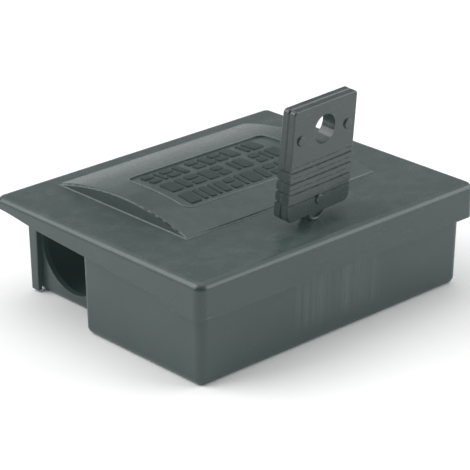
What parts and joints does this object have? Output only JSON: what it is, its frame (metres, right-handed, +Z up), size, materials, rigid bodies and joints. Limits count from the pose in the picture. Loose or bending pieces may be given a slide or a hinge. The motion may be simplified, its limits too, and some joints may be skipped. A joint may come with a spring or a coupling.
{
  "type": "bait station",
  "caption": "Small lidded mouse bait box with recessed end entries, a back-hinged overhanging lid, a push lock with its plate key, and a dish and rods for bait inside.",
  "frame": {"origin": "middle of the lid's footprint, on the surface that the tray stands on", "axes": "+X along the long side, to the right seen from the front; +Y to the hinge at the back; +Z up"},
  "size_m": [0.13, 0.105, 0.0816],
  "materials": {
    "station_plastic": "semi-gloss moulded, dark slate",
    "key_plastic": "semi-gloss moulded, dark slate",
    "lock_plastic": "moulded acetal, black",
    "dish_plastic": "moulded, dark grey",
    "plated_steel": "zinc plated",
    "spring_steel": "bright wire",
    "bait_wax": "waxy, coarse"
  },
  "bodies": {
    "tray": {"tray_shell": "station_plastic", "hinge_pin_left": "plated_steel", "hinge_pin_right": "plated_steel"},
    "lid": {"lid_shell": "station_plastic", "lock_cover": "lock_plastic", "lock_screws": "plated_steel", "lock_spring": "spring_steel"},
    "plunger": {"lock_plunger": "lock_plastic"},
    "bolt": {"lock_bolt": "lock_plastic"},
    "key": {"key_front_half": "key_plastic", "key_back_half": "key_plastic", "key_peg_left": "key_plastic", "key_peg_right": "key_plastic", "key_peg_lower": "key_plastic"},
    "dish": {"bait_dish": "dish_plastic"},
    "rod_left": {"bait_rod_left": "plated_steel", "bait_block_left_front": "bait_wax", "bait_block_left_back": "bait_wax"},
    "rod_right": {"bait_rod_right": "plated_steel", "bait_block_right_front": "bait_wax", "bait_block_right_back": "bait_wax"}
  },
  "joints": [
    {"name": "lid_hinge", "type": "hinge", "parent": "tray", "child": "lid", "pos_m": [0, 0.0499, 0.0315], "axis": [-1, 0, 0], "range_deg": [0, 110]},
    {"name": "plunger_slide", "type": "slide", "parent": "lid", "child": "plunger", "axis": [0, 0, 1], "range_m": [0, 0.0024]},
    {"name": "bolt_slide", "type": "slide", "parent": "lid", "child": "bolt", "axis": [0, -1, 0], "range_m": [0, 0.0024], "deforming": ["lock_spring"]},
    {"name": "key_lift", "type": "slide", "parent": "plunger", "child": "key", "axis": [0.0064, -0.0956, 0.9954], "range_m": [0, 0.03]},
    {"name": "dish_lift", "type": "slide", "parent": "tray", "child": "dish", "axis": [0, 0, 1], "range_m": [0, 0.008]},
    {"name": "rod_left_lift", "type": "slide", "parent": "tray", "child": "rod_left", "axis": [0, 0, 1], "range_m": [0, 0.006]},
    {"name": "rod_right_lift", "type": "slide", "parent": "tray", "child": "rod_right", "axis": [0, 0, 1], "range_m": [0, 0.006]}
  ],
  "couplings": [
    {"joint": "bolt_slide", "follows": "plunger_slide", "ratio": 1}
  ]
}
